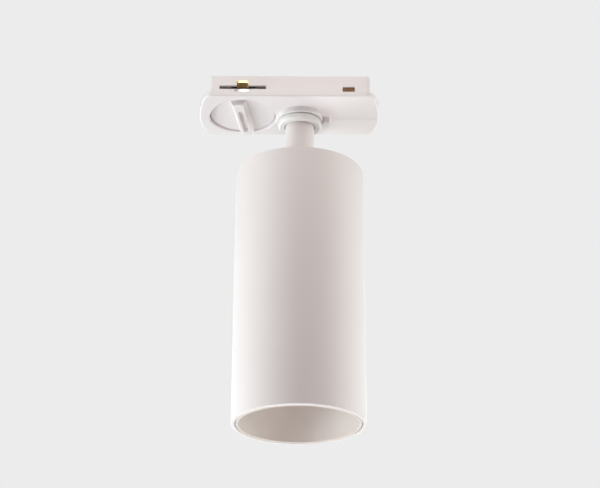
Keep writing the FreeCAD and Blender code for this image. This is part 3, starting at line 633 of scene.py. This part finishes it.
def ribMesh():
    low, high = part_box("lamp_housing")
    top = Vector((lampBody["neckRadius"] * mm, high.z - lampBody["neckHeight"] * mm))
    foot = Vector((high.x - lampBody["shoulder"] * mm, low.z + lampBody["lip"] * mm))
    down = (foot - top).normalized()
    out = Vector((-down.y, down.x))
    proud, root = lampBody["ribProud"] * mm, lampBody["ribRoot"] * mm
    profile = [top + down * 2 * proud - out * root, top + down * 5 * proud + out * proud,
               foot - down * 2 * proud + out * proud, foot - down * proud - out * root]
    half = lampBody["ribWidth"] * mm / 2
    crest = half * lampBody["ribCrest"]
    widths = (half, crest, crest, half)
    points = [(p.x, side * w, p.y) for side in (-1, 1) for p, w in zip(profile, widths)]
    faces = [(0, 1, 2, 3), (7, 6, 5, 4)]
    faces += [(i, (i + 1) % 4, (i + 1) % 4 + 4, i + 4) for i in range(4)]
    shape = bmesh.new()
    corners = [shape.verts.new(p) for p in points]
    for face in faces:
        shape.faces.new([corners[i] for i in face])
    return finished(shape, "rib")


def packageMesh():
    low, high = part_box("lamp_leds")
    height = high.z - low.z - lampBody["domeHeight"] * mm
    side = 2 * (high.x - lampBody["sourceCircle"] * mm)
    shape = bmesh.new()
    bmesh.ops.create_cube(shape, size=1)
    centre = Vector((lampBody["sourceCircle"] * mm, 0, high.z - height / 2))
    bmesh.ops.scale(shape, vec=(side, side, height), verts=shape.verts)
    bmesh.ops.translate(shape, vec=centre, verts=shape.verts)
    bmesh.ops.bevel(shape, geom=shape.edges, offset=lampBody["packageEdge"] * mm, segments=2,
                    affect="EDGES", profile=0.5)
    return finished(shape, "package")


def domeMesh():
    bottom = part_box("lamp_leds")[0].z
    radius, height = lampBody["domeRadius"] * mm, lampBody["domeHeight"] * mm
    slopes = (0, 0.5, 1.0, math.pi / 2)
    outline = [(radius * math.sin(a), bottom + height * (1 - math.cos(a))) for a in slopes]
    buried = bottom + 1.5 * height         # its flat back, inside the package
    mesh = lathed(outline + [(radius, buried), (0, buried)], lampBody["domeSides"])
    mesh.transform(Matrix.Translation((lampBody["sourceCircle"] * mm, 0, 0)))
    return mesh


def makeLampBody():
    for name, start, count, slot in [("lampRibs", ribMesh(), "ribs", "lamp_white"),
                                     ("sourcePackages", packageMesh(), "sources", "lamp_white"),
                                     ("sourceDomes", domeMesh(), "sources", "led_yellow")]:
        piece = smoothed(grow(name, start, aroundAxis, {"Count": lampBody[count], "Finish": materials[slot]}))
        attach(piece, "lamp")
        if name == "sourceDomes":
            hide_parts("lamp_leds")


# Leads from the window in the stem to the leads of the head

bendingLeads = {
    "radius": 0.9,
    "sides": 14,
    "blendFrom": (0, 8, -39.7),
    "blendTo": (0, 8, -53.2),
    # between its ends each lead hangs in a slack loop behind the pivot
    "routes": {
        "live": [(-0.55, 8.8, -37.3), (-4.5, 12.0, -38.3), (-9.8, 12.9, -43.0), (-9.4, 12.6, -50.0),
                 (-4.6, 11.6, -52.8), (-2.2, 8.6, -52.6)],
        "neutral": [(-0.55, 8.6, -39.2), (2.4, 10.2, -40.4), (6.9, 11.2, -44.0), (6.6, 11.0, -49.4),
                    (2.8, 10.6, -52.4), (1.2, 8.6, -52.6)],
        "earth": [(1.1, 9.2, -38.2), (5.5, 13.2, -39.0), (10.8, 14.4, -44.0), (10.4, 14.0, -50.4),
                  (6.8, 12.0, -53.0), (4.4, 8.6, -52.6)],
    },
}


def sleeve(sheet, line, given):
    path = sheet.add("GeometryNodeMeshToCurve", inputs={"Mesh": line})
    circle = {"Resolution": given["Sides"], "Radius": given["Radius"]}
    outline = sheet.add("GeometryNodeCurvePrimitiveCircle", {"mode": "RADIUS"}, circle)
    share = sheet.add("GeometryNodeSplineParameter", output="Factor")
    marked = {"Geometry": outline, "Name": "around", "Value": share}
    outline = sheet.add("GeometryNodeStoreNamedAttribute", {"data_type": "FLOAT", "domain": "POINT"}, marked)
    swept = {"Curve": path, "Profile Curve": outline, "Fill Caps": True}
    return sheet.add("GeometryNodeCurveToMesh", inputs=swept)


def windingStripes():
    # green and yellow halves round the lead, which turn with it
    finish = Finish("bendingStripes", IOR=1.41)
    skin = finish.noise(scale=1800, detail=2)
    around = finish.add("ShaderNodeAttribute", {"attribute_name": "around"}, output="Fac")
    return twoTone(finish, skin, around + skin * 0.02 > 0.5)


def makeBendingLeads():
    for core, between in bendingLeads["routes"].items():
        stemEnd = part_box("stem_" + core + "_lead")[1].y
        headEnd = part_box("head_" + core + "_lead")[1].z
        first = (between[0][0], stemEnd / mm, between[0][2])
        last = (between[-1][0], between[-1][1], headEnd / mm)
        finish = windingStripes() if core == "earth" else materials["lead_" + core]
        sizes = {"Sides": bendingLeads["sides"], "Radius": bendingLeads["radius"] * mm, "Finish": finish}
        piece = grow("bending_" + core + "_lead", lengthwise([first] + between + [last]), sleeve, sizes)
        smoothed(piece)
        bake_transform(piece)


makeLens()
print("lens made")
makeLampBody()
print("lamp ribs and light sources made")
makeBendingLeads()
print("bending leads made")
